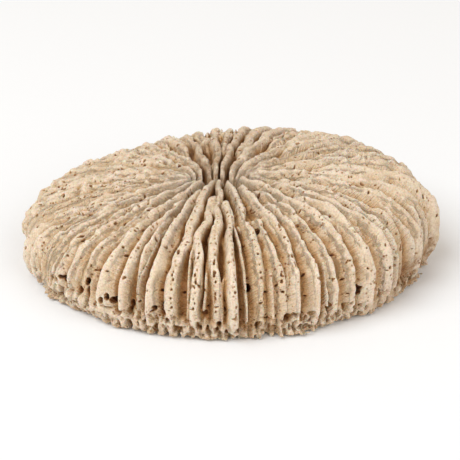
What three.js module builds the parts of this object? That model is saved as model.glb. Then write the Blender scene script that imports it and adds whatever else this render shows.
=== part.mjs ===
// A mushroom coral: the dried skeleton of one free-living stony polyp, grown as a single piece.
// A low dome carries upright plates, the septa, that run from the slit-shaped mouth pit (the fossa)
// over the crown and down the side. The skeleton rests on a ring worn flat round its hollow underside.
// Millimetres, +Z up, +X along the fossa, origin at the bottom centre of the piece's own box.
import * as THREE from "three";

// Driving dimensions of the body.
const RIM_RADII = [77, 74.5, 74, 71, 71, 73.5, 72.5, 71.5, 70, 70, 70.5, 74]; // plan outline, every 30 degrees from +X
const CROWN_HEIGHT = 35; // crests over the middle, above the rest
const EDGE_HEIGHT = 10; // widest line of the side, above the rest
const CROWN_POWER = 2.8; // superellipse power of the crown's section: over 2 is flatter on top
const RISE_X = 0.105; // the crown rises this much per millimetre towards +X
const RISE_Y = -0.035; // and this much towards +Y

// The fossa: a slit in the plan, between the two focal points that the septa spread from.
const FOSSA = { x: -1, y: -6, turn: -5, focus: 11, width: 5, depth: 8, fade: 6 }; // turn in degrees

// Septa.
const GROOVE_DEPTH = 6.5; // from a crest down to the floor between two septa
const GROOVE_START = 2; // the same depth at the fossa
const GROOVE_GROWTH = 2; // the depth is whole at this part of the way out: a half
const CREST_SHARE = 0.27; // half a crest, as a share of the way to the next septum
const FLOOR_SHARE = 0.42; // where the flat floor of a groove begins, likewise
const LEAN_START = 0.8; // share of the way out where grooves begin to cut inwards, not only down

// Underside.
const RIM_TUCK = 7; // how far the side pulls in between its widest line and the rest
const REST_WIDTH = 8; // width of the worn ring that the skeleton lies on
const HOLLOW_HEIGHT = 6; // rise of the hollow underside at its middle

// Bearings of the septa round the front, in degrees, where they are uneven. The rest of the way
// round they are evenly spaced, a little off true.
const FRONT_SEPTA = [
  203, 208.5, 213, 218.5, 224, 229.5, 237.5, 245.3, 249, 253.5, 261, 268.5, 274, 280, 288.5, 294.5, 299,
  304, 309.5, 314.5, 321, 328.5, 338, 346,
];
const BACK_SEPTA = 34;
const BACK_WANDER = 1.1; // degrees that a back septum may stray from its even place
const WANDER_RATE = 1.7; // how fast the straying changes from one septum to the next

const CROWN_ROWS = 10;
const SIDE_ROWS = 3;
const UNDER_ROWS = 3;

const RADIANS = Math.PI / 180;
const FULL_TURN = 360;
const QUARTER_TURN = Math.PI / 2;
const BISECTIONS = 30;
const OUTER_REACH = 3.2; // elliptic radius that is outside the rim everywhere

const smooth = (t) => t * t * (3 - 2 * t);
const clamp01 = (t) => Math.min(Math.max(t, 0), 1);

// Plan radius of the rim at an angle in radians, a smooth closed curve through RIM_RADII.
function rimRadius(angle) {
  const count = RIM_RADII.length;
  const turns = angle / (2 * Math.PI);
  const place = (turns - Math.floor(turns)) * count;
  const first = Math.floor(place) % count;
  const t = place - Math.floor(place);
  const [a, b, c, d] = [-1, 0, 1, 2].map((step) => RIM_RADII[(first + step + count) % count]);
  const linear = c - a;
  const square = 2 * a - 5 * b + 4 * c - d;
  const cube = -a + 3 * b - 3 * c + d;
  return (2 * b + linear * t + square * t * t + cube * t * t * t) / 2;
}

// Bearings of all the septa, in degrees, in order round the skeleton.
function septaBearings() {
  const last = FRONT_SEPTA[FRONT_SEPTA.length - 1];
  const spacing = (FRONT_SEPTA[0] + FULL_TURN - last) / (BACK_SEPTA + 1);
  const back = [];
  for (let i = 1; i <= BACK_SEPTA; i++) {
    back.push(last + spacing * i + BACK_WANDER * Math.sin(i * i * WANDER_RATE));
  }
  return [...FRONT_SEPTA, ...back];
}

// A point of the plan on one septum's line: a hyperbola that leaves the fossa square to it.
// Reach is the elliptic radius, 0 on the slit itself.
function planPoint(bearing, reach) {
  const alongSlit = FOSSA.focus * Math.cosh(reach) * Math.cos(bearing * RADIANS);
  const awayFromSlit = FOSSA.focus * Math.sinh(reach) * Math.sin(bearing * RADIANS);
  const turned = new THREE.Vector2(alongSlit, awayFromSlit).rotateAround(
    new THREE.Vector2(),
    FOSSA.turn * RADIANS,
  );
  return turned.add(new THREE.Vector2(FOSSA.x, FOSSA.y));
}

// How far out a plan point is: 1 on the rim.
const shareOut = (plan) => plan.length() / rimRadius(plan.angle());

// The reach at which a septum's line meets the rim.
function rimReach(bearing) {
  let low = 0;
  let high = OUTER_REACH;
  for (let i = 0; i < BISECTIONS; i++) {
    const middle = (low + high) / 2;
    if (shareOut(planPoint(bearing, middle)) < 1) low = middle;
    else high = middle;
  }
  return (low + high) / 2;
}

// The whole skeleton rises towards one side: height is multiplied by this.
const riseAt = (plan) => 1 + (RISE_X * plan.x + RISE_Y * plan.y) / CROWN_HEIGHT;

// A point of the crown. depth is how far it lies below the crests, square to the body.
function crownPoint(bearing, reach, depth) {
  const plan = planPoint(bearing, reach);
  const share = Math.min(shareOut(plan), 1);
  const lift = (1 - share ** CROWN_POWER) ** (1 / CROWN_POWER);
  const dome = EDGE_HEIGHT + (CROWN_HEIGHT - EDGE_HEIGHT) * lift;
  const fromSlit = FOSSA.focus * Math.sinh(reach);
  const dip = FOSSA.depth * Math.exp(-fromSlit / FOSSA.fade);
  const lean = smooth(clamp01((share - LEAN_START) / (1 - LEAN_START)));
  const inner = plan.clone().setLength(plan.length() - depth * lean);
  return [inner.x, inner.y, dome * riseAt(plan) - dip - depth * (1 - lean)];
}

// A point of the side. turn runs from 0 at the widest line to a quarter turn on the rest.
function sidePoint(rim, turn, depth) {
  const pull = RIM_TUCK * (1 - Math.cos(turn)) + depth * Math.cos(turn);
  const inner = rim.clone().setLength(rim.length() - pull);
  return [inner.x, inner.y, EDGE_HEIGHT * riseAt(rim) * (1 - Math.sin(turn))];
}

// A point of the underside. share runs from 1 at the rest's inner edge to 0 in the middle.
function underPoint(rim, share) {
  const inner = rim.clone().setLength((rim.length() - RIM_TUCK - REST_WIDTH) * share);
  return [inner.x, inner.y, HOLLOW_HEIGHT * (1 - share * share)];
}

// One column of points, from the fossa over the crown and side and under to the hollow.
// low is 0 along a crest and 1 along the floor of a groove.
function column(bearing, low) {
  const firstDistance = FOSSA.width / 2;
  const lastReach = rimReach(bearing);
  const lastDistance = FOSSA.focus * Math.sinh(lastReach);
  const rim = planPoint(bearing, lastReach);
  const points = [];
  for (let row = 0; row <= CROWN_ROWS; row++) {
    const out = row / CROWN_ROWS;
    const spread = Math.sin(QUARTER_TURN * out);
    const distance = firstDistance + (lastDistance - firstDistance) * spread;
    const grown = smooth(clamp01(out * GROOVE_GROWTH));
    const depth = low * (GROOVE_START + (GROOVE_DEPTH - GROOVE_START) * grown);
    points.push(crownPoint(bearing, Math.asinh(distance / FOSSA.focus), depth));
  }
  for (let row = 1; row <= SIDE_ROWS; row++) {
    points.push(sidePoint(rim, (QUARTER_TURN * row) / SIDE_ROWS, low * GROOVE_DEPTH));
  }
  for (let row = 0; row < UNDER_ROWS; row++) {
    points.push(underPoint(rim, 1 - row / UNDER_ROWS));
  }
  return points;
}

// All the columns: two along each crest, then two along the floor of the groove after it.
function columns() {
  const bearings = septaBearings();
  const made = [];
  bearings.forEach((bearing, i) => {
    const before = bearings.at(i - 1) - (i ? 0 : FULL_TURN);
    const after = bearings[i + 1] ?? bearings[0] + FULL_TURN;
    made.push(column(bearing - (bearing - before) * CREST_SHARE, 0));
    made.push(column(bearing + (after - bearing) * CREST_SHARE, 0));
    made.push(column(bearing + (after - bearing) * FLOOR_SHARE, 1));
    made.push(column(after - (after - bearing) * FLOOR_SHARE, 1));
  });
  return made;
}

// A closed surface: the columns side by side, with a fan in the fossa and one in the hollow.
function skeletonGeometry() {
  const grid = columns();
  const rows = grid[0].length;
  const fossaFloor = grid.reduce((sum, points) => sum + points[0][2], 0) / grid.length;
  const positions = [...grid.flat(2), FOSSA.x, FOSSA.y, fossaFloor, 0, 0, HOLLOW_HEIGHT];
  const fossaCentre = grid.length * rows;
  const hollowCentre = fossaCentre + 1;
  const faces = [];
  for (let i = 0; i < grid.length; i++) {
    const here = i * rows;
    const next = ((i + 1) % grid.length) * rows;
    faces.push(fossaCentre, here, next);
    for (let row = 0; row + 1 < rows; row++) {
      faces.push(here + row, here + row + 1, next + row);
      faces.push(next + row, here + row + 1, next + row + 1);
    }
    faces.push(hollowCentre, next + rows - 1, here + rows - 1);
  }
  const geometry = new THREE.BufferGeometry();
  geometry.setAttribute("position", new THREE.Float32BufferAttribute(positions, 3));
  geometry.setIndex(faces);
  geometry.computeVertexNormals();
  return geometry;
}

const aragonite = new THREE.MeshStandardMaterial({ color: 0xdcc8ae, roughness: 0.9, metalness: 0 });

const skeleton = new THREE.Mesh(skeletonGeometry(), aragonite);
skeleton.name = "coral";
skeleton.geometry.computeBoundingBox();
const boxCentre = skeleton.geometry.boundingBox.getCenter(new THREE.Vector3());
skeleton.position.set(-boxCentre.x, -boxCentre.y, 0);

const coral = new THREE.Group();
coral.add(skeleton);

export default coral;
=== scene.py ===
"""A mushroom coral's dried skeleton, lying crown up on a pale floor.

The skeleton is built as a solid field in millimetres: plates (septa) that spread from the
slit-shaped mouth pit (the fossa) over a low dome, the mass between them, the lip of the base and
the ribbed hollow underside. Pits are cut into the field, and it is then skinned with one closed mesh.
"""

import math
from types import SimpleNamespace

import bpy
import numpy as np
import openvdb
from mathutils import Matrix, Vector


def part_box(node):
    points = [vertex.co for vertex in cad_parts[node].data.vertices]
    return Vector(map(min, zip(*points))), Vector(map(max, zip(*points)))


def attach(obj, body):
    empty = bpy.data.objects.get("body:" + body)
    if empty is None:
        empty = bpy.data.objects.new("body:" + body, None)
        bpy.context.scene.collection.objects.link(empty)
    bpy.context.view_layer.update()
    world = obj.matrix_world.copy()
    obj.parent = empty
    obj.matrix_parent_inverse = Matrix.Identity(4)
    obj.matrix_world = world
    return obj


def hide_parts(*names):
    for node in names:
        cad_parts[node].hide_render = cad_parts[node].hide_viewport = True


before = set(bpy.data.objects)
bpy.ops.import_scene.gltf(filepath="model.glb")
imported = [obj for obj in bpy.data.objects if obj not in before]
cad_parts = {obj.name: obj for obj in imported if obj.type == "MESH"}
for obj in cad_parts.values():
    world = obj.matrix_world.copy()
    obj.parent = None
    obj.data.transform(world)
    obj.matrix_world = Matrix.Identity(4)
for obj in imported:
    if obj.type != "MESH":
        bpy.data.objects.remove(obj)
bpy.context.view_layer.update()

MM = 0.001
DEGREES = math.pi / 180
FULL_TURN = 2 * math.pi

# The body, as in the frame: plan outline every 30 degrees from +X, heights, and the rise to one side.
RIM_RADII = (77, 74.5, 74, 71, 71, 73.5, 72.5, 71.5, 70, 70, 70.5, 74)
CROWN_HEIGHT = 35
EDGE_HEIGHT = 10
CROWN_POWER = 2.8
RISE_X = 0.105
RISE_Y = -0.035
RIM_TUCK = 7
DOME_HEIGHT = CROWN_HEIGHT - EDGE_HEIGHT

# The fossa: the slit between the two focal points that the septa spread from.
FOSSA_X = -1
FOSSA_Y = -6
FOSSA_TURN = -5 * DEGREES
FOSSA_FOCUS = 11
FOSSA_DIP = 4  # of the crests into the slit
FOSSA_FADE = 4  # distance over which that dip fades

# Septa that are uneven: bearing round the fossa in degrees, thickness in degrees, distance from
# the slit at which the septum starts, and how much of its crest has a row of pits.
FRONT_SEPTA = (
    (203, 3.0, 0, 0.1),
    (208.5, 3.0, 16, 0),
    (213, 2.7, 26, 0.1),
    (218.5, 3.0, 12, 0.1),
    (224, 2.9, 0, 0.2),
    (229.5, 2.6, 20, 0.1),
    (237.5, 3.9, 0, 0.2),
    (245.3, 2.7, 12, 0.3),
    (249.2, 2.2, 24, 0.2),
    (253.7, 2.8, 3, 0.1),
    (261, 3.5, 0, 0.9),
    (268.2, 2.7, 8, 0.9),
    (274, 3.0, 0, 0.9),
    (280, 2.7, 12, 0.9),
    (288.5, 3.1, 0, 0.4),
    (294.5, 2.7, 26, 0.2),
    (299.5, 2.8, 2, 0.2),
    (305, 2.7, 20, 0.3),
    (311, 2.9, 10, 0),
    (317, 3.1, 0, 0.4),
    (323.5, 3.4, 24, 0),
    (330.5, 3.9, 10, 0.2),
    (339, 4.2, 0, 0.3),
    (348, 3.8, 18, 0.2),
)
# Bearings of the thin septa between them.
FRONT_THIN_SEPTA = (
    227, 233, 241.5, 257.6, 265, 271, 277, 283.4, 285.6, 291.5, 297, 302.5, 308, 314, 327, 344,
)
# Degrees between septa round the sides, and at the open back of the fossa, which is near BACK.
SIDE_PITCH = 9.0
BACK_PITCH = 5.3
BACK = 97
THIN_WIDTH = 0.8  # of a thin septum, in degrees
THIN_HALF = 0.34  # half its thickness in millimetres
THIN_ROOM = 0.25  # how much that half widens down to the groove

# Grooves: how far below the crests they end, and how much more round some bearings
# (bearing, spread in degrees, millimetres).
GROOVE_DEPTH = 3.9
DEEPER_GROOVES = ((270, 30, 2.2), (BACK, 26, 2.3), (325, 20, 0.9), (45, 26, 1.3))
DEEPEST_GROOVE = 6.2
MOUTH_GROOVE = 2.5
MOUTH_FADE = 9

# The underside: its rise from the rim to the middle, the share of the radius that rises, the
# ribs (costae) on it, and the scar where the young coral was attached.
HOLLOW_RISE = 5
HOLLOW_SHARE = 0.86
HOLLOW_BASE = 1.0
COSTAE = 56  # near the middle; twice as many near the rim
COSTA_HEIGHT = 0.95
SCAR_HEIGHT = 1.4
SCAR_RADIUS = 7

# Open holes: bearing, distance from the slit along the crest, radius and depth in millimetres.
HOLES = (
    (291, 41, 1.5, 4),
    (284, 65, 1.1, 3),
    (242, 72, 1.2, 3),
    (318.6, 76, 1.7, 4),
    (271, 76, 1.3, 3),
    (247, 80, 1.4, 3),
    (263, 81, 1.3, 3),
    (296, 80, 1.5, 3),
)
ROW_GAP = 1.7  # between pits in a row
LOOSE_PITS = 1500
BASE_PITS = 700
PIT_BLEND = 0.4  # rounding of a pit's edge
UPRIGHT = (0, 0, 1)  # the way a long pit runs

VOXEL = 0.4
FIELD_LIMIT = 3  # value of the field well outside the skeleton
MOST_FACES = 196000
SEED = 11
LATTICE_SIZE = 64
LATTICE = np.random.default_rng(SEED).random((LATTICE_SIZE,) * 3).astype(np.float32) * 2 - 1

# Each row of the table of septa has a bearing, thickness, start, drop below the dome, kind and
# share of pits. Three of its columns are read on their own. The kinds are main and thin.
COLUMNS = range(6)
BEARING, START, KIND = 0, 2, 4
MAIN, THIN = range(2)
FARTHEST = 110  # from the slit, in millimetres
NEIGHBOURS = range(-4, 4)  # septa that can reach a place, counted from the nearest
GROOVE_REACH = 3.2  # how far round a place is looked at to tell a groove from a crest
EDGE_REACH = 1.0  # the same for a plate's edge
DEEPEST_MARK = 10

# The view: down by TILT from the front. Lens and sensor in millimetres, and where it aims, in the
# field's millimetres.
TILT = 25 * DEGREES
CAMERA_DISTANCE = 0.52
LENS = 111.91
SENSOR = 36
AIM_X = 2.9
AIM_Z = 9.3

# Lights: name, place and size in metres, and power in watts.
LIGHTS = (
    ("key", (-1.6, -1.2, 2.4), 2.2, 66),
    ("fill", (2.0, -2.0, 1.8), 2.4, 30),
)
LIGHT_COLOUR = (0.93, 0.97, 1)
LIGHT_AIM = (0, 0, 0.015)
SURROUNDINGS_COLOUR = (1, 0.89, 0.77, 1)
SURROUNDINGS_STRENGTH = 0.55
FLOOR_SIZE = 6

# Sizes of the finish's patterns in millimetres. Real aragonite grain and pores are finer than a
# tenth of a millimetre. They are drawn as coarse as they need to show.
BLOTCH = 11.11
# Size of the patches that break up the darker tint, which is painted shade in the fossa and darker at the
# foot and the right end.
SHADE_AND_SOIL_PATCH = 3.846
GRAIN = 1.111
SPECKLE = 0.625
PORE = 1.613
TOOTH_LINE = 0.8333
BUMP_HEIGHT = 0.4
GLOW_DEPTH = 1.3

# The finish's colours along each mark or pattern. The masks run from black to white.
WALL = ((0.35, "d9c2a4"), (0.5, "e5d2b8"), (0.7, "ecddca"))
# The crest colour is a painted highlight: a paler colour laid on convex crests, where the edge mark is
# low.
CREST_HIGHLIGHT = "ebdfcf"
CREST_HIGHLIGHT_MASK = ((0.3, "ffffff"), (0.49, "000000"))
TINTS = {
    # Painted shade: depth darkens below the dome, groove where solid crowds round the point, and pit down
    # into a pit. Speckle is a random tone.
    "depth": ((0.1, "ffffff"), (0.35, "f3e6d3"), (0.7, "dfc5a0")),
    "groove": ((0.5, "ffffff"), (0.66, "e6cfae"), (0.92, "bf9c72")),
    "pit": ((0.2, "ffffff"), (0.5, "c9a67c"), (0.9, "7d5c3c")),
    "speckle": ((0.3, "e2dad0"), (0.5, "f8f5f1"), (0.65, "ffffff")),
}
PORE_MASK = ((0.16, "000000"), (0.3, "ffffff"))
POROUS_MASK = ((0.5, "000000"), (0.62, "ffffff"))
# Painted shade of the tiny pores, laid where the pore pattern is open.
PORE_SHADE_TINT = "b0845a"
# The patchy darker tint: painted shade in the fossa, and darker at the foot and at the right end.
SHADE_AND_SOIL_PATCH_MASK = ((0.35, "555555"), (0.6, "ffffff"))
SHADE_AND_SOIL_TINT = "b29268"
FLANK_MASK = ((0.05, "000000"), (0.2, "ffffff"))
NO_PORE = (1, 1, 1, 1)

# Sockets of a colour mix.
SHARE, BELOW, ABOVE, RESULT = 0, 6, 7, 2


def smooth(t):
    """0 to 1 as t goes from 0 to 1, easing in and out."""
    t = np.clip(t, 0, 1)
    return t * t * (3 - 2 * t)


def union(a, b, blend):
    """The nearer of two solids, filleted where they meet."""
    overlap = np.maximum(blend - np.abs(a - b), 0) / blend
    return np.minimum(a, b) - overlap * overlap * (blend / 4)


def common(a, b, blend):
    """What two solids share, rounded where they meet."""
    return -union(-a, -b, blend)


def hashed(*numbers):
    """A repeatable number from 0 to 1 for each set of numbers."""
    total = sum(np.asarray(n, float) * w for n, w in zip(numbers, (12.9898, 78.233, 37.719)))
    value = np.sin(total) * 43758.5453
    return value - np.floor(value)


def wave(key, place, seed):
    """Smooth noise from -1 to 1 along a line. key tells the lines apart."""
    cell = np.floor(place)
    t = smooth(place - cell)
    low = hashed(key, cell, seed)
    high = hashed(key, cell + 1, seed)
    return 2 * (low + (high - low) * t) - 1


def cloud(at, z, scale):
    """Smooth noise from -1 to 1 in space, in lumps scale millimetres across, at one height."""
    if scale not in at.cells:
        places = (at.x / scale, at.y / scale)
        corners = [np.floor(place).astype(np.int32) for place in places]
        steps = [smooth(place - corner).astype(np.float32) for place, corner in zip(places, corners)]
        starts = [corner % LATTICE_SIZE for corner in corners]
        ends = [(corner + 1) % LATTICE_SIZE for corner in corners]
        at.cells[scale] = starts, ends, steps
    (x0, y0), (x1, y1), (tx, ty) = at.cells[scale]
    layer = math.floor(z / scale)
    step = smooth(z / scale - layer)
    below = LATTICE[:, :, layer % LATTICE_SIZE]
    above = LATTICE[:, :, (layer + 1) % LATTICE_SIZE]
    plane = below * (1 - step) + above * step
    near = plane[x0, y0] * (1 - tx) + plane[x1, y0] * tx
    far = plane[x0, y1] * (1 - tx) + plane[x1, y1] * tx
    return near * (1 - ty) + far * ty


def rim_radius(angle):
    """Plan radius of the rim, a smooth closed curve through RIM_RADII."""
    count = len(RIM_RADII)
    place = (angle / FULL_TURN) % 1 * count
    first = np.floor(place).astype(int) % count
    t = place - np.floor(place)
    radii = np.array(RIM_RADII, float)
    a, b, c, d = (radii[(first + step) % count] for step in (-1, 0, 1, 2))
    square = 2 * a - 5 * b + 4 * c - d
    cube = -a + 3 * b - 3 * c + d
    return (2 * b + (c - a) * t + square * t**2 + cube * t**3) / 2


def opening(bearing, middle, spread):
    """1 near one bearing, falling to 0 beyond 1.5 times the spread from it."""
    return smooth(1.5 - np.abs((bearing - middle + 180) % 360 - 180) / spread)


def front_rows():
    """The uneven main septa of the front, one row each."""
    rows = []
    for number, (bearing, thickness, start, pits) in enumerate(FRONT_SEPTA):
        rows.append((bearing, thickness, start, 1.1 * hashed(number, 13), MAIN, pits))
    return rows


def round_rows():
    """The main septa from the last front one, round the back, to the first."""
    rows = []
    bearing = FRONT_SEPTA[-1][0]
    last = FRONT_SEPTA[0][0] + 360
    number = 0
    while True:
        number += 1
        pitch = SIDE_PITCH * (0.65 + 0.7 * hashed(number, 3))
        bearing += pitch - (pitch - BACK_PITCH) * opening(bearing + 5, BACK, 14)
        if bearing > last - 4:
            return rows
        start = 0 if number % 2 else 12 + 12 * hashed(number, 7)
        thickness = 3.4 + 2.4 * hashed(number, 9)
        rows.append((bearing, thickness, start, 1.6 * hashed(number, 11) ** 2, MAIN, 0.12))


def thin_rows(mains):
    """The thin septa: those of the front, and one in each other gap that is wide enough."""
    rows = []
    for number, bearing in enumerate(FRONT_THIN_SEPTA):
        drop = 1.5 + 1.7 * hashed(number, 23)
        rows.append((bearing, THIN_WIDTH, 14 + 14 * hashed(number, 21), drop, THIN, 0))
    for number, (low, high) in enumerate(zip(mains, mains[1:])):
        middle = (low + high) / 2 + 0.8 * (hashed(number, 31) - 0.5)
        if min(abs(middle - thin) for thin in FRONT_THIN_SEPTA) > 2 and high - low > 4.4:
            drop = 1.0 + hashed(number, 35)
            rows.append((middle, THIN_WIDTH, 22 + 16 * hashed(number, 33), drop, THIN, 0))
    return rows


def septa_list():
    """All septa in order of bearing, one row each."""
    rows = front_rows() + round_rows()
    mains = [row[BEARING] for row in rows] + [FRONT_SEPTA[0][0] + 360]
    table = np.array(rows + thin_rows(mains), float)
    table[:, BEARING] %= 360
    return table[np.argsort(table[:, BEARING])]


def gaps_list():
    """Degrees to the next main septum before and after each septum, at each millimetre from the slit."""
    apart = (SEPTA[None, :, BEARING] - SEPTA[:, None, BEARING]) % 360
    apart = np.where((SEPTA[None, :, KIND] != MAIN) | (apart == 0), 360, apart)
    back = np.where(apart == 360, 360, 360 - apart)
    gaps = np.zeros((2, len(SEPTA), FARTHEST))
    for distance in range(FARTHEST):
        waiting = np.where(SEPTA[None, :, START] > distance - 2, 360, 0)
        gaps[0, :, distance] = np.minimum((back + waiting).min(axis=1), 40)
        gaps[1, :, distance] = np.minimum((apart + waiting).min(axis=1), 40)
    padded = np.concatenate([gaps[:, :, :1]] * 4 + [gaps] + [gaps[:, :, -1:]] * 4, axis=2)
    return sum(padded[:, :, step : step + FARTHEST] for step in range(9)) / 9


SEPTA = septa_list()
GAPS = gaps_list()


def mouth_place(x, y):
    """Bearing round the fossa, distance from its slit and millimetres to a degree, in the plan."""
    turned = ((x - FOSSA_X) + 1j * (y - FOSSA_Y)) * np.exp(-1j * FOSSA_TURN)
    spread = np.arccosh(turned / FOSSA_FOCUS + 0j)
    at = SimpleNamespace()
    at.bearing = np.degrees(np.where(spread.real < 0, -spread.imag, spread.imag)) % 360
    at.along = FOSSA_FOCUS * np.sinh(np.abs(spread.real))
    at.per_degree = FOSSA_FOCUS * np.abs(np.sinh(spread)) * DEGREES
    return at


def plan_of(x, y):
    """Everything about the skeleton that depends only on the place in the plan."""
    at = mouth_place(x, y)
    at.x = x
    at.y = y
    at.cells = {}
    at.radius = np.hypot(x, y)
    at.angle = np.arctan2(y, x)
    at.rim = rim_radius(at.angle)
    at.share = at.radius / at.rim
    at.rise = 1 + (RISE_X * x + RISE_Y * y) / CROWN_HEIGHT
    at.dip = FOSSA_DIP * np.exp(-at.along / FOSSA_FADE)
    at.worn = worn_at(at)
    at.edge_top = 7.5 + 2.0 * wave(2, at.angle * 5, 61) + 4 * opening(at.bearing, 235, 24)
    at.relief = relief_at(at)
    at.hollow = hollow_height(at)
    at.rough = 1 - 0.65 * np.maximum(opening(at.bearing, 270, 40), opening(at.bearing, 315, 25))
    at.groove = np.searchsorted(SEPTA[:, BEARING], at.bearing) % len(SEPTA)
    at.plates = [plate_of(at, step) for step in NEIGHBOURS]
    for name, value in vars(at).items():
        if isinstance(value, np.ndarray) and value.dtype == np.float64:
            setattr(at, name, value.astype(np.float32))
    return at


def worn_at(at):
    """How worn the crown is, from 0 to 1: most on the far left, with patches elsewhere."""
    side = 0.85 * opening(at.bearing, 163, 28) * smooth(at.along / 20)
    patches = 0.5 * smooth(2.2 * cloud(at, 40.0, 17.0))
    return np.clip(np.maximum(side, patches * smooth(at.share * 1.6)), 0, 1)


def relief_at(at):
    """How far below the crests the grooves end, in millimetres."""
    depth = GROOVE_DEPTH
    for middle, spread, more in DEEPER_GROOVES:
        depth = depth + more * opening(at.bearing, middle, spread)
    kept = 1 - 0.5 * at.worn
    return np.minimum(depth, DEEPEST_GROOVE) * kept + MOUTH_GROOVE * np.exp(-at.along / MOUTH_FADE)


def plate_of(at, step):
    """One septum near each plan point: the point's distance to its middle, its thickness and crest."""
    key = (np.searchsorted(SEPTA[:, BEARING], at.bearing) + step) % len(SEPTA)
    bearing, thickness, start, _, kind, _ = (SEPTA[key, column] for column in COLUMNS)
    thin = kind != MAIN
    size = np.clip(at.per_degree / (30 * DEGREES), 0.4, 1)
    wander = (1.0 * wave(key, at.along / 9, 1) + 0.4 * wave(key, at.along / 4, 2)) * size
    off = ((at.bearing - bearing + 180) % 360 - 180) * at.per_degree - wander
    gap = half_gap(at, key, off)
    front = opening(bearing, 271, 15)
    back = opening(bearing, 75, 50)
    open_back = opening(bearing, BACK, 20)
    half = thickness / 2 * (0.3 + 0.55 * front + 0.4 * back - 0.15 * open_back)
    half = half + 0.2 * wave(key, at.along / 3.1, 3)
    half = half * (0.45 + 0.55 * smooth(at.along / 16))
    half = half * (0.35 + 0.65 * smooth((at.along - start) / 14 + (start < 1)))
    half = np.where(thin, THIN_HALF, np.clip(half, 0.35, 0.75 * gap + 0.1))
    steep = np.maximum(np.maximum(front, open_back), 0.8 - 0.8 * smooth(at.along / 18))
    room = np.where(thin, THIN_ROOM, np.maximum(gap - half, 0) * (0.95 - 0.45 * steep))
    lean = 0.65 * np.cos(bearing * DEGREES) + 0.3 * (hashed(key, 73) - 0.5)
    plate = SimpleNamespace(off=off, half=half, lean=lean, room=room)
    plate.crest = crest_of(at, key, size)
    plate.corner = np.minimum(half, 0.8 + 0.5 * back)
    for name, value in vars(plate).items():
        setattr(plate, name, value.astype(np.float32))
    return plate


def half_gap(at, key, off):
    """Half the way, in millimetres, to the next main septum on the side that the place is on."""
    distance = np.clip(at.along, 0, FARTHEST - 1.01)
    first = distance.astype(int)
    side = (off > 0).astype(int)
    gap = GAPS[side, key, first] * (1 - distance + first) + GAPS[side, key, first + 1] * (distance - first)
    return gap * at.per_degree / 2


def crest_of(at, key, size):
    """How far a septum's lobed crest stands above the dome."""
    bearing, _, start, drop, kind, _ = (SEPTA[key, column] for column in COLUMNS)
    thin = kind != MAIN
    lobes = 0.4 - np.abs(wave(key, at.along / 3.3, 4))
    crest = np.where(thin, 1.2, 0.9) * lobes + 0.6 * wave(key, at.along / 8, 5)
    begun = smooth((at.along - start) / 15 + 0.7 * (start < 1))
    crest = crest * (0.4 + 0.6 * size) - drop - at.relief * (1 - begun)
    crest = crest - np.where(thin, 1.5, 0.4) * at.worn
    near_rim = smooth((at.share - 0.85) / 0.12)
    to_side = 1 + 0.5 * np.abs(np.cos(bearing * DEGREES))
    return crest + near_rim * (2.4 * hashed(key, 71) - 1.8) * to_side


def crown_distance(at, z):
    """Distance out of the dome that the crests follow, negative inside it."""
    height = z / at.rise
    up = np.maximum(height - EDGE_HEIGHT, 0) / DOME_HEIGHT
    tuck = RIM_TUCK * (1 - np.sqrt(1 - np.clip(1 - height / EDGE_HEIGHT, 0, 1) ** 2))
    out = at.radius / (at.rim - tuck)
    reach = (out**CROWN_POWER + up**CROWN_POWER) ** (1 / CROWN_POWER)
    slope = np.hypot(out ** (CROWN_POWER - 1) / at.rim, up ** (CROWN_POWER - 1) / DOME_HEIGHT)
    slope = slope * np.maximum(reach, 0.05) ** (1 - CROWN_POWER)
    return np.maximum((reach - 1) / np.maximum(slope, 0.012), -14)


def plates_field(at, out, warp, bumps, teeth, edging):
    """The septa, wider below their crests. edging is 1 near the base, where they sink into the rim."""
    plates = np.full_like(out, 20)
    for plate in at.plates:
        above = out - plate.crest + bumps + 0.5 * edging
        depth = np.clip(-above, 0, 10)
        share = np.minimum(depth / at.relief, 1)
        half = plate.half + plate.room * share * (1.25 - 0.25 * share)
        beside = np.abs(plate.off + warp + plate.lean * depth) - half + 0.3 * bumps + teeth * share
        inside = np.minimum(np.maximum(beside, above) + plate.corner, 0)
        outside = np.hypot(np.maximum(beside + plate.corner, 0), np.maximum(above + plate.corner, 0))
        plates = union(plates, inside + outside - plate.corner, 0.3)
    return plates


def lip_field(at, z):
    """The uneven edge of the base, below the ends of the septa."""
    edge = at.rim - 3.0 + 1.9 * wave(0, at.angle * 7, 6) + 0.8 * wave(0, at.angle * 27, 7)
    edge = edge + 0.9 * cloud(at, z, 2.1)
    top = 2.6 + 1.4 * wave(0, at.angle * 13, 8) + 0.8 * cloud(at, 0, 2.9)
    return common(z - top, at.radius - edge, 1.6)


def hollow_rise(share):
    """The smooth rise of the underside above the rim's, at shares of the plan radius."""
    return HOLLOW_RISE * smooth((HOLLOW_SHARE - share) / HOLLOW_SHARE)


def hollow_height(at):
    """How high the underside is: hollow, with toothed ribs out to the rim and a scar in the middle."""
    doubled = smooth((at.share - 0.35) / 0.2)
    ribs = 0
    for count, strength in ((COSTAE, 1 - doubled), (2 * COSTAE, doubled)):
        place = at.angle / FULL_TURN * count + 0.25 * wave(count, at.radius / 9, 14)
        number = np.floor(place)
        ridge = 1 - np.abs(2 * (place - number) - 1)
        ribs = ribs + strength * ridge * (0.7 + 0.3 * wave(number, at.radius / 1.7, 15))
    ribs = ribs * smooth(at.share * 3) * smooth((1 - at.share) * 9)
    scar = SCAR_HEIGHT * np.exp(-((at.radius / SCAR_RADIUS) ** 2)) * (0.8 + 0.4 * cloud(at, 3, 2.3))
    rings = 0.25 * wave(4, at.radius / 5, 10) * smooth((0.9 - at.share) * 5)
    height = hollow_rise(at.share) + HOLLOW_BASE - COSTA_HEIGHT * (ribs + scar)
    return height + rings + 0.12 * cloud(at, 0, 1.6)


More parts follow.
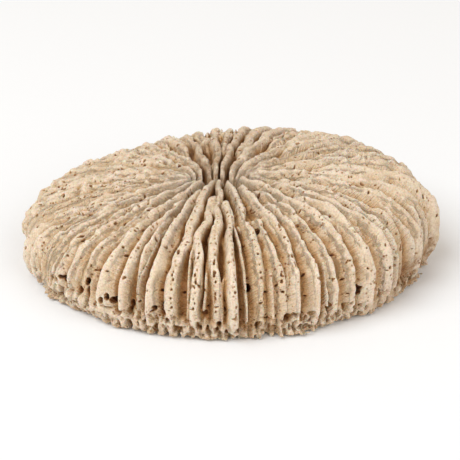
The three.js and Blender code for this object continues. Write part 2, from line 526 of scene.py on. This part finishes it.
def skeleton(at, z):
    """The whole skeleton as a field: below zero inside, in about millimetres."""
    out = crown_distance(at, z) + at.dip
    edging = smooth((at.edge_top - z) / 4) * (at.share > 0.8)
    warp = 0.35 * cloud(at, z, 6.0) + 0.5 * edging * cloud(at, z, 3.4)
    bumps = (0.25 * cloud(at, z, 2.7) + 0.22 * cloud(at, z, 1.4)) * (at.rough + at.worn + edging)
    bumps = bumps + at.worn * (0.8 * cloud(at, z, 4.3) + 0.7 * cloud(at, z, 1.9))
    teeth = 0.45 * at.rough * wave(at.groove, (at.along - z) / 1.3, 12)
    plates = plates_field(at, out, warp, bumps, teeth, edging)
    depth = at.relief * 0.93 + 0.5 * cloud(at, z, 4.7)
    depth = depth + edging * (1.5 + 1.0 * cloud(at, z, 3.1) - depth)
    solid = union(plates, out + depth, 0.8 + 0.8 * edging)
    solid = union(solid, lip_field(at, z), 2.6)
    return common(solid, at.hollow - z, 0.5)


def sampled_field():
    """The field on a grid of voxels, and the grid's lowest corner."""
    reach = max(RIM_RADII) + 3
    low = np.array([-reach, -reach, -1.4])
    high = np.array([reach, reach, CROWN_HEIGHT + 7])
    count = np.ceil((high - low) / VOXEL).astype(int)
    x, y = (low[axis] + VOXEL * np.arange(count[axis]) for axis in (0, 1))
    grid_x, grid_y = np.meshgrid(x, y, indexing="ij")
    within = np.hypot(grid_x, grid_y) < rim_radius(np.arctan2(grid_y, grid_x)) + 2.4
    at = plan_of(grid_x[within], grid_y[within])
    field = np.full(count, FIELD_LIMIT, np.float32)
    for layer in range(count[2]):
        field[:, :, layer][within] = skeleton(at, low[2] + VOXEL * layer)
    return field, low


def sampled(values, low, places):
    """The grid's values at places between its voxels."""
    where = (places - low) / VOXEL
    cell = np.clip(np.floor(where).astype(int), 0, np.array(values.shape) - 2)
    step = where - cell
    total = 0
    for corner in np.ndindex(2, 2, 2):
        weight = 1
        for axis, side in enumerate(corner):
            weight = weight * (step[:, axis] if side else 1 - step[:, axis])
        i, j, k = (cell + corner).T
        total = total + weight * values[i, j, k]
    return total


def plan_point(bearing, along):
    """The plan place at a bearing and a distance from the slit."""
    spread = np.arcsinh(along / FOSSA_FOCUS) + 1j * np.asarray(bearing) * DEGREES
    turned = FOSSA_FOCUS * np.cosh(spread) * np.exp(1j * FOSSA_TURN) + FOSSA_X + 1j * FOSSA_Y
    return turned.real, turned.imag


def crest_path(bearing):
    """Places down one septum's crest on the dome, from the slit to the rest, and distances along it."""
    x, y = plan_point(bearing, np.arange(1, 90, 0.1))
    share = np.hypot(x, y) / rim_radius(np.arctan2(y, x))
    on_crown = share < 1
    x, y, share = x[on_crown], y[on_crown], share[on_crown]
    rise = 1 + (RISE_X * x + RISE_Y * y) / CROWN_HEIGHT
    lift = (1 - share**CROWN_POWER) ** (1 / CROWN_POWER)
    z = (EDGE_HEIGHT + DOME_HEIGHT * lift) * rise
    down = np.arange(z[-1] - 0.2, 2, -0.2)
    ends = [np.concatenate([line, np.full(len(down), line[-1])]) for line in (x, y)]
    path = np.stack([*ends, np.concatenate([z, down])], axis=1)
    steps = np.linalg.norm(np.diff(path, axis=0), axis=1)
    return path, np.concatenate([[0], np.cumsum(steps)])


def place_along(path, length, distance):
    """The place on a path at a distance along it."""
    return path[min(np.searchsorted(length, distance), len(path) - 1)]


def inward_at(places):
    """The way into the body, square to the dome, at places on it."""
    radius = np.hypot(places[:, 0], places[:, 1])
    angle = np.arctan2(places[:, 1], places[:, 0])
    share = np.clip(radius / rim_radius(angle), 0, 1)
    outward = share ** (CROWN_POWER - 1) / rim_radius(angle)
    height = np.clip((places[:, 2] - EDGE_HEIGHT) / DOME_HEIGHT, 0, 1)
    upward = height ** (CROWN_POWER - 1) / DOME_HEIGHT
    normal = np.stack([outward * np.cos(angle), outward * np.sin(angle), upward], axis=1)
    return -normal / np.linalg.norm(normal, axis=1, keepdims=True)


def row_pits(draw):
    """Pits in rows on the crests: place, radius, depth, how long and the way of the length."""
    for bearing, _, start, _, kind, pits in SEPTA:
        if kind != MAIN:
            continue
        path, length = crest_path(bearing)
        distance = max(start + 4, 16)
        while distance < length[-1] - 4:
            chance, slide, size, step, aside = draw.random(5)
            distance += ROW_GAP * (0.6 + 0.9 * step)
            if chance < pits * min(distance / 38, 1) ** 2:
                shift = np.array([math.sin(aside * 6.3), math.cos(slide * 6.3), 0]) * 0.35
                place = place_along(path, length, distance) + shift
                yield place, 0.24 + 0.22 * size**2, 0.9, 1 + slide, UPRIGHT


def loose_pits(draw):
    """Pits anywhere on the crown."""
    for _ in range(LOOSE_PITS):
        bearing, distance, size, length_share, turn = draw.random(5)
        path, length = crest_path(360 * bearing)
        place = path[np.searchsorted(length, 12 + (length[-1] - 16) * distance)]
        way = (math.cos(turn * 6.3), math.sin(turn * 6.3), -0.3)
        yield place, 0.2 + 0.3 * size**3, 0.9, 1 + 2 * length_share**2, way


def rim_pockets(draw):
    """Clusters of cells between the ends of the septa, up the rim from the base."""
    for key in range(len(SEPTA)):
        low = SEPTA[key, BEARING]
        width = (SEPTA[(key + 1) % len(SEPTA), BEARING] - low) % 360
        path, _ = crest_path(low + 0.5 * width)
        height = 2.2 + draw.random()
        top = 6.5 + 5.5 * opening(low, 238, 22) + 3 * draw.random()
        while height < top:
            size, stretch, chance, deep = draw.random(4)
            radius = min(0.34 * width, 1.0) * (0.5 + 0.6 * size)
            place = np.array([path[-1][0], path[-1][1], height])
            across = np.array([-place[1], place[0], 0]) / math.hypot(place[0], place[1])
            for aside, up, share in draw.random((3, 3)) * (chance < 0.8):
                spot = place + across * (aside - 0.5) * 2.6 * radius
                spot = spot + np.array([0, 0, (up - 0.5) * 3 * radius])
                cell = radius * (0.5 + 0.5 * share)
                yield spot, cell, 1.4 + 2 * deep, 1.2 + 1.5 * stretch, UPRIGHT
            height += 2 * radius * (1.2 + 1.5 * stretch) + 0.3


def base_pits(draw):
    """Small cells in the lowest part of the rim."""
    for _ in range(BASE_PITS):
        bearing, height, size, stretch = draw.random(4)
        path, _ = crest_path(360 * bearing)
        place = np.array([path[-1][0], path[-1][1], 0.8 + 8 * height**1.5])
        yield place, 0.3 + 0.45 * size**2, 1.2, 1 + stretch, UPRIGHT


def open_holes():
    """The holes that stand out."""
    for bearing, distance, radius, depth in HOLES:
        path, length = crest_path(bearing)
        yield place_along(path, length, distance), radius, depth, 1.3, UPRIGHT


def pitted(field, low):
    """The field with the pits and holes cut into its surface."""
    field = field.copy()
    draw = np.random.default_rng(SEED)
    pits = [*row_pits(draw), *loose_pits(draw), *rim_pockets(draw), *base_pits(draw), *open_holes()]
    places = np.array([pit[0] for pit in pits])
    ways = inward_at(places)
    tops = places - 2.5 * ways
    found = np.zeros(len(places), bool)
    for _ in range(50):
        found |= sampled(field, low, tops) < 0
        tops = tops + np.where(found, 0, 0.2)[:, None] * ways
    for number in np.nonzero(found)[0]:
        _, radius, depth, stretch, length_way = pits[number]
        cut_pit(field, low, tops[number], ways[number], radius, depth, stretch, np.array(length_way))
    return field


def cut_pit(field, low, top, way, radius, depth, stretch, length_way):
    """Cuts one round-ended pit, stretched along length_way, into the field."""
    reach = max(radius * stretch, depth + radius) + 1
    first = np.maximum(np.floor((top - reach - low) / VOXEL).astype(int), 0)
    last = np.minimum(np.ceil((top + reach - low) / VOXEL).astype(int), field.shape)
    lines = [low[axis] + VOXEL * np.arange(first[axis], last[axis]) - top[axis] for axis in range(3)]
    place = np.stack(np.meshgrid(*lines, indexing="ij"), axis=-1)
    inward = np.clip(place @ way, -0.5, depth)
    place = place - inward[..., None] * way
    length_way = length_way - way * (length_way @ way)
    length_way = length_way / max(np.linalg.norm(length_way), 0.001)
    place = place - ((place @ length_way) * (1 - 1 / stretch))[..., None] * length_way
    beside = np.linalg.norm(place, axis=-1)
    block = tuple(slice(a, b) for a, b in zip(first, last))
    narrowing = radius * (1 - 0.35 * np.clip(inward / depth, 0, 1))
    field[block] = common(field[block], (narrowing - beside).astype(np.float32), PIT_BLEND)


def skinned(field, low):
    """The mesh over the field's zero surface, in millimetres."""
    grid = openvdb.FloatGrid(float(FIELD_LIMIT))
    grid.copyFromArray(np.clip(field, -FIELD_LIMIT, FIELD_LIMIT))
    points, quads = grid.convertToQuads(0.0)
    return points * VOXEL + low, quads


def one_shell(points, quads):
    """The largest connected shell of the mesh: loose specks and closed bubbles are left out."""
    shell = np.arange(len(points))
    while True:
        lowest = shell[quads].min(axis=1)
        joined = shell.copy()
        for corner in range(4):
            np.minimum.at(joined, quads[:, corner], lowest)
        joined = joined[joined]
        if np.array_equal(joined, shell):
            break
        shell = joined
    owner = shell[quads[:, 0]]
    kept = quads[owner == np.bincount(owner).argmax()]
    used, renumbered = np.unique(kept, return_inverse=True)
    return points[used], renumbered.reshape(kept.shape)


def mesh_of(name, points, quads):
    """A mesh of four-sided faces."""
    mesh = bpy.data.meshes.new(name)
    mesh.vertices.add(len(points))
    mesh.vertices.foreach_set("co", np.asarray(points, np.float32).ravel())
    mesh.loops.add(quads.size)
    mesh.loops.foreach_set("vertex_index", np.asarray(quads, np.int32).ravel())
    mesh.polygons.add(len(quads))
    mesh.polygons.foreach_set("loop_start", np.arange(0, quads.size, 4, dtype=np.int32))
    mesh.update(calc_edges=True)
    mesh.validate()
    return mesh


def thinned(mesh, faces):
    """The mesh with fewer triangles, kept where it bends most."""
    made = bpy.data.objects.new("thinning", mesh)
    bpy.context.scene.collection.objects.link(made)
    thin = made.modifiers.new("thin", "DECIMATE")
    thin.ratio = min(faces / (2 * len(mesh.polygons)), 1)
    thin.use_collapse_triangulate = True
    shaped = made.evaluated_get(bpy.context.evaluated_depsgraph_get())
    result = bpy.data.meshes.new_from_object(shaped)
    bpy.data.objects.remove(made)
    return result


def crowding(field, low, places, reach):
    """Share of solid within reach millimetres of each place: over a half in a groove, under on a crest."""
    steps = max(int(round(reach / VOXEL)), 1)
    width = 2 * steps + 1
    solid = (field < 0).astype(np.float32)
    for axis in range(3):
        total = np.moveaxis(np.cumsum(solid, axis=axis, dtype=np.float32), axis, 0)
        spread = np.zeros_like(total)
        spread[steps + 1 : -steps] = total[width:] - total[:-width]
        solid = np.moveaxis(spread / width, 0, axis)
    return sampled(solid, low, places)


def nearest_septum(bearing):
    """The number of the septum nearest to each bearing."""
    following = np.append(SEPTA[1:, BEARING], SEPTA[0, BEARING] + 360)
    middles = (SEPTA[:, BEARING] + following) / 2
    return np.searchsorted(middles, bearing) % len(SEPTA)


def shade_and_soil_at(spot, height, upper):
    """Where the finish is darkened: painted shade in the fossa and behind it, and darker at the foot and
    at the lower right end.
    """
    shade_and_soil = 0.5 * np.exp(-spot.along / 14)
    shade_and_soil = shade_and_soil + 0.5 * opening(spot.bearing, BACK, 20) * smooth((60 - spot.along) / 30)
    shade_and_soil = shade_and_soil + 0.45 * smooth((8 - height) / 6)
    right_end = opening(spot.bearing, 350, 14) * smooth((17 - height) / 8)
    shade_and_soil = shade_and_soil + right_end * smooth((spot.along - 45) / 10)
    return np.clip(shade_and_soil * upper + 0.12 * (1 - upper), 0, 1)


def surface_marks(field, whole, low, places):
    """Numbers for the finish at each point of the surface: where it is hollow, pitted or deep, and where
    painted shade and a darker tint fall.
    """
    height = places[:, 2]
    place = plan_of(places[:, 0], places[:, 1])
    spot = mouth_place(places[:, 0], places[:, 1])
    underneath = height - hollow_rise(place.share)
    upper = smooth((underneath - 1.5) / 1.5)
    depth = -(crown_distance(place, height) + place.dip)
    depth = depth * upper + (1 - upper) * 3.5 * np.clip(underneath, 0, 1)
    above_foot = 0.15 + 0.85 * smooth((height - 7) / 5)
    return {
        "groove": crowding(field, low, places, GROOVE_REACH),
        "edge": crowding(field, low, places, EDGE_REACH),
        "pit": np.clip(-sampled(whole, low, places), 0, 1) * above_foot,
        "depth": np.clip(depth / DEEPEST_MARK, 0, 1),
        "shade_and_soil": shade_and_soil_at(spot, height, upper),
        "along": spot.along - height + 17.3 * nearest_septum(spot.bearing),
    }


def outline_middle():
    """The middle of the rim's own box in the plan, which the frame puts at the middle of the node's."""
    angles = np.linspace(0, FULL_TURN, 720, endpoint=False)
    rim = rim_radius(angles)
    lines = (np.cos(angles) * rim, np.sin(angles) * rim)
    return np.array([(line.max() + line.min()) / 2 for line in lines] + [0])


def skeleton_mesh():
    """The finished mesh, in metres and in the frame's place, with its marks."""
    whole, low = sampled_field()
    field = pitted(whole, low)
    mesh = thinned(mesh_of("coral_skeleton", *one_shell(*skinned(field, low))), MOST_FACES)
    places = np.empty(len(mesh.vertices) * 3, np.float32)
    mesh.vertices.foreach_get("co", places)
    places = places.reshape(-1, 3).astype(float)
    for name, values in surface_marks(field, whole, low, places).items():
        layer = mesh.attributes.new(name, "FLOAT", "POINT")
        layer.data.foreach_set("value", values.astype(np.float32))
    low_corner, high_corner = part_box("coral")
    middle = (low_corner + high_corner) / 2
    places = (places - outline_middle()) * MM + np.array([middle.x, middle.y, low_corner.z])
    mesh.vertices.foreach_set("co", places.astype(np.float32).ravel())
    mesh.polygons.foreach_set("use_smooth", np.ones(len(mesh.polygons), bool))
    mesh.update()
    return mesh


def linear(hex_colour):
    """An sRGB hex colour as linear red, green, blue and alpha."""
    parts = [int(hex_colour[i : i + 2], 16) / 255 for i in (0, 2, 4)]
    return [p / 12.92 if p <= 0.04045 else ((p + 0.055) / 1.055) ** 2.4 for p in parts] + [1.0]


def add(tree, kind, inputs, stops=(), **settings):
    """One shader node. Each input takes a value or another node's output; stops are those of a ramp."""
    node = tree.nodes.new(kind)
    for name, value in settings.items():
        setattr(node, name, value)
    for name, value in inputs.items():
        if isinstance(value, bpy.types.NodeSocket):
            tree.links.new(value, node.inputs[name])
        else:
            node.inputs[name].default_value = value
    for number, (position, colour) in enumerate(stops):
        elements = node.color_ramp.elements
        stop = elements[number] if number < 2 else elements.new(position)
        stop.position = position
        stop.color = linear(colour)
    return node


def per_metre(size):
    """How often a pattern repeats in a metre, from its size in millimetres."""
    return 1 / (size * MM)


def marks_and_patterns(tree):
    """The mesh's marks and the patterns in space, each as an output to take."""
    found = {}
    for name in ("groove", "edge", "depth", "pit", "shade_and_soil", "along"):
        found[name] = add(tree, "ShaderNodeAttribute", {}, attribute_name=name).outputs["Fac"]
    place = add(tree, "ShaderNodeTexCoord", {}).outputs["Object"]
    for name, size, detail, roughness in (
        ("blotch", BLOTCH, 4.0, 0.6),
        ("grain", GRAIN, 4.0, 0.75),
        ("speckle", SPECKLE, 2.0, 0.6),
        ("shade_and_soil_noise", SHADE_AND_SOIL_PATCH, 4.0, 0.65),
    ):
        inputs = {"Vector": place, "Scale": per_metre(size), "Detail": detail, "Roughness": roughness}
        found[name] = add(tree, "ShaderNodeTexNoise", inputs).outputs["Fac"]
    inputs = {"Vector": place, "Scale": per_metre(PORE), "Randomness": 1.0}
    found["pore"] = add(tree, "ShaderNodeTexVoronoi", inputs).outputs["Distance"]
    inputs = {"W": found["along"], "Scale": 1 / TOOTH_LINE, "Detail": 1.0}
    found["tooth"] = add(tree, "ShaderNodeTexNoise", inputs, noise_dimensions="1D").outputs["Fac"]
    for name, source, stops in (
        ("wall", "blotch", WALL),
        ("crest", "edge", CREST_HIGHLIGHT_MASK),
        ("porous", "blotch", POROUS_MASK),
        ("hole", "pore", PORE_MASK),
        ("shade_and_soil_patches", "shade_and_soil_noise", SHADE_AND_SOIL_PATCH_MASK),
        ("flank", "depth", FLANK_MASK),
        *((name + "_tint", name, stops) for name, stops in TINTS.items()),
    ):
        found[name] = add(tree, "ShaderNodeValToRGB", {"Fac": found[source]}, stops).outputs["Color"]
    inputs = {SHARE: found["porous"], BELOW: NO_PORE, ABOVE: found["hole"]}
    found["open"] = add(tree, "ShaderNodeMix", inputs, data_type="RGBA").outputs[RESULT]
    return found


def aragonite_colour(tree, found):
    """The skeleton's colour: a painted highlight on the crests, painted shade that turns the hollows tan
    and the pits and pores brown, and a patchy darker tint, which is painted shade in the fossa and darker
    at the foot and the right end.
    """
    # Painted highlight: the paler crest colour where the surface is convex.
    inputs = {SHARE: found["crest"], BELOW: found["wall"], ABOVE: linear(CREST_HIGHLIGHT)}
    body = add(tree, "ShaderNodeMix", inputs, data_type="RGBA").outputs[RESULT]
    # Painted shade in the grooves, hollows and pits, then a random speckle.
    multiplied = {"data_type": "RGBA", "blend_type": "MULTIPLY"}
    for name in TINTS:
        inputs = {SHARE: 1.0, BELOW: body, ABOVE: found[name + "_tint"]}
        body = add(tree, "ShaderNodeMix", inputs, **multiplied).outputs[RESULT]
    # Painted shade of the pores.
    inputs = {SHARE: 1.0, BELOW: body, ABOVE: linear(PORE_SHADE_TINT)}
    painted_pore_shade = add(tree, "ShaderNodeMix", inputs, **multiplied).outputs[RESULT]
    inputs = {SHARE: found["open"], BELOW: painted_pore_shade, ABOVE: body}
    body = add(tree, "ShaderNodeMix", inputs, data_type="RGBA").outputs[RESULT]
    # Painted shade in the fossa, and darker at the foot and the right end, in patches.
    inputs = {SHARE: 1.0, BELOW: body, ABOVE: linear(SHADE_AND_SOIL_TINT)}
    shade_and_soil_colour = add(tree, "ShaderNodeMix", inputs, **multiplied).outputs[RESULT]
    inputs = {0: found["shade_and_soil"], 1: found["shade_and_soil_patches"]}
    share = add(tree, "ShaderNodeMath", inputs, operation="MULTIPLY").outputs[0]
    inputs = {SHARE: share, BELOW: body, ABOVE: shade_and_soil_colour}
    return add(tree, "ShaderNodeMix", inputs, data_type="RGBA").outputs[RESULT]


def aragonite_bump(tree, found):
    """The skeleton's finest relief: grain, pores and the tooth lines down the flanks."""
    inputs = {SHARE: 0.5, BELOW: found["grain"], ABOVE: found["open"]}
    height = add(tree, "ShaderNodeMix", inputs, data_type="RGBA").outputs[RESULT]
    tooth = add(tree, "ShaderNodeMath", {0: found["tooth"], 1: 0.5}, operation="SUBTRACT").outputs[0]
    inputs = {0: tooth, 1: found["flank"]}
    tooth = add(tree, "ShaderNodeMath", inputs, operation="MULTIPLY").outputs[0]
    inputs = {0: tooth, 1: 2.0, 2: height}
    height = add(tree, "ShaderNodeMath", inputs, operation="MULTIPLY_ADD").outputs[0]
    inputs = {"Height": height, "Strength": 1.0, "Distance": BUMP_HEIGHT * MM}
    return add(tree, "ShaderNodeBump", inputs).outputs["Normal"]


def bleached_aragonite():
    """Coral skeleton: aragonite laid down by the polyp in fine needles, bleached clean and dried.

    The eye sees a matt, chalky surface. Its colour holds a painted highlight on the crests, painted shade
    that turns the hollows tan and the pits and pores brown, and a patchy darker tint with painted shade in
    the fossa. A warm glow comes where light passes through the thin plates.
    """
    material = bpy.data.materials.new("bleached_aragonite")
    material.use_nodes = True
    tree = material.node_tree
    shader = tree.nodes["Principled BSDF"]
    for name, value in (
        ("Roughness", 0.6),
        ("Specular IOR Level", 0.5),
        ("Subsurface Weight", 0.5),
        ("Subsurface Radius", (1.0, 0.55, 0.3)),
        ("Subsurface Scale", GLOW_DEPTH * MM),
    ):
        shader.inputs[name].default_value = value
    found = marks_and_patterns(tree)
    tree.links.new(aragonite_colour(tree, found), shader.inputs["Base Color"])
    tree.links.new(aragonite_bump(tree, found), shader.inputs["Normal"])
    return material


def backdrop_paper():
    """White backdrop paper, uncoated and lightly pressed: an even, matt near-white without a gloss."""
    material = bpy.data.materials.new("white_backdrop_paper")
    material.use_nodes = True
    shader = material.node_tree.nodes["Principled BSDF"]
    shader.inputs["Base Color"].default_value = linear("f8fbff")
    shader.inputs["Roughness"].default_value = 0.9
    return material


def add_coral():
    """The skeleton, the one piece that rides the root."""
    mesh = skeleton_mesh()
    coral = bpy.data.objects.new("coral_skeleton", mesh)
    bpy.context.scene.collection.objects.link(coral)
    mesh.materials.append(bleached_aragonite())
    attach(coral, "root")
    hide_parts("coral")


def add_floor():
    """The pale floor, which belongs to the stage."""
    bpy.ops.mesh.primitive_plane_add(size=FLOOR_SIZE)
    floor = bpy.context.object
    floor.name = "floor"
    floor.data.materials.append(backdrop_paper())


def add_camera():
    """The camera, in front and above."""
    data = bpy.data.cameras.new("camera")
    data.sensor_width = SENSOR
    data.lens = LENS
    camera = bpy.data.objects.new("camera", data)
    bpy.context.scene.collection.objects.link(camera)
    middle_x, middle_y, _ = outline_middle()
    aim = Vector(((AIM_X - middle_x) * MM, -middle_y * MM, AIM_Z * MM))
    camera.location = aim + Vector((0, -math.cos(TILT), math.sin(TILT))) * CAMERA_DISTANCE
    camera.rotation_euler = (math.pi / 2 - TILT, 0, 0)
    bpy.context.scene.camera = camera


def add_lights():
    """The soft area lights, each aimed at the coral."""
    for name, where, size, power in LIGHTS:
        data = bpy.data.lights.new(name, "AREA")
        data.size = size
        data.energy = power
        data.color = LIGHT_COLOUR
        lamp = bpy.data.objects.new(name, data)
        lamp.location = where
        lamp.rotation_euler = (Vector(LIGHT_AIM) - Vector(where)).to_track_quat("-Z", "Y").to_euler()
        bpy.context.scene.collection.objects.link(lamp)


def add_surroundings():
    """The even light from all round."""
    world = bpy.data.worlds.new("studio")
    world.use_nodes = True
    background = world.node_tree.nodes["Background"]
    background.inputs["Color"].default_value = SURROUNDINGS_COLOUR
    background.inputs["Strength"].default_value = SURROUNDINGS_STRENGTH
    bpy.context.scene.world = world
    bpy.context.scene.view_settings.view_transform = "Standard"


add_coral()
add_floor()
add_camera()
add_lights()
add_surroundings()
